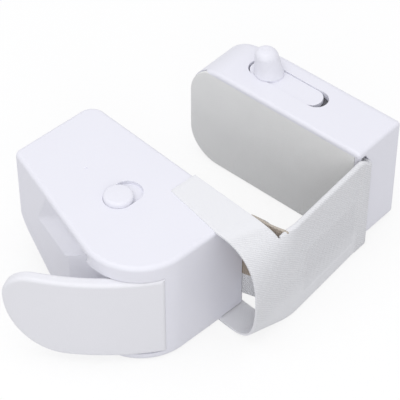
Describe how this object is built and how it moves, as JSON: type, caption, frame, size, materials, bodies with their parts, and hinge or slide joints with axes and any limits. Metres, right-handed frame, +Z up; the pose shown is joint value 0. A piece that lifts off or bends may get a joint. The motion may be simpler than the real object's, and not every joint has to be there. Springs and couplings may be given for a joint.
{
  "type": "child safety door lock",
  "caption": "Clip-on child safety door lock: two padded plastic blocks joined by a woven strap straddle a door's edge, and a cam lever with a lock button clamps them.",
  "frame": {"origin": "on the lever's pin axis, at the underside of the body", "axes": "+Z up along the lever's pin, +X across the door's thickness from the body to the jaw, +Y along the door's face, away from the door's free edge"},
  "size_m": [0.1291, 0.0852, 0.0486],
  "materials": {
    "white_plastic": "satin moulded",
    "grey_plastic": "plain moulded",
    "woven_strap": "fine ribbed weave",
    "liner_webbing": "flat webbing",
    "grey_pad": "matt closed-cell foam",
    "rubber_pad": "matt",
    "steel": "plated"
  },
  "bodies": {
    "body": {"body_shell": "white_plastic", "body_base": "white_plastic", "base_screw_1": "steel", "base_screw_2": "steel", "base_screw_3": "steel", "lever_pin": "steel", "lever_washer": "steel", "plate_spring_1": "steel", "plate_spring_2": "steel", "strap_loop": "woven_strap", "strap_liner_anchor": "liner_webbing", "strap_rod": "steel"},
    "lever": {"lever": "white_plastic"},
    "plate": {"pressure_plate": "white_plastic", "pressure_pad": "rubber_pad"},
    "lock": {"lock_button": "white_plastic", "lock_slide": "grey_plastic", "lock_screw": "steel"},
    "bridge": {"strap_cover": "woven_strap", "strap_liner": "liner_webbing"},
    "jaw": {"jaw_shell": "white_plastic", "jaw_plate": "white_plastic", "jaw_pad": "grey_pad", "jaw_screw_1": "steel", "jaw_screw_2": "steel", "strap_cover_end": "woven_strap", "strap_liner_tail": "liner_webbing", "tail_rod": "steel", "slider_spring": "steel"},
    "slider": {"jaw_slider": "white_plastic", "slider_plate": "grey_plastic", "slider_screw": "steel"},
    "pawl": {"strap_pawl": "grey_plastic"}
  },
  "joints": [
    {"name": "lever_swing", "type": "hinge", "parent": "body", "child": "lever", "pos_m": [0, 0, 0.02], "axis": [0, 0, 1], "range_deg": [-46, 0]},
    {"name": "plate_press", "type": "slide", "parent": "body", "child": "plate", "axis": [1, 0, 0], "range_m": [0, 0.0033], "deforming": ["plate_spring_1", "plate_spring_2"]},
    {"name": "lock_button_slide", "type": "slide", "parent": "body", "child": "lock", "axis": [1, 0, 0], "range_m": [0, 0.0038]},
    {"name": "strap_fold", "type": "hinge", "parent": "body", "child": "bridge", "pos_m": [0.0293, -0.0316, 0.02], "axis": [0, 0, 1], "range_deg": [-45, 10]},
    {"name": "jaw_swing", "type": "hinge", "parent": "bridge", "child": "jaw", "pos_m": [0.06891, -0.026, 0.02], "axis": [0, 0, 1], "range_deg": [-15, 10]},
    {"name": "slider_slide", "type": "slide", "parent": "jaw", "child": "slider", "axis": [-0.0785, 0.9969, 0], "range_m": [-0.0021, 0], "stiffness_N_per_m": 300, "deforming": ["slider_spring"]},
    {"name": "pawl_slide", "type": "slide", "parent": "jaw", "child": "pawl", "axis": [0.9969, 0.0785, 0], "range_m": [0, 0.0011]}
  ],
  "couplings": [
    {"joint": "plate_press", "follows": "lever_swing", "m_per_rad": -0.004},
    {"joint": "pawl_slide", "follows": "slider_slide", "ratio": -0.5}
  ]
}
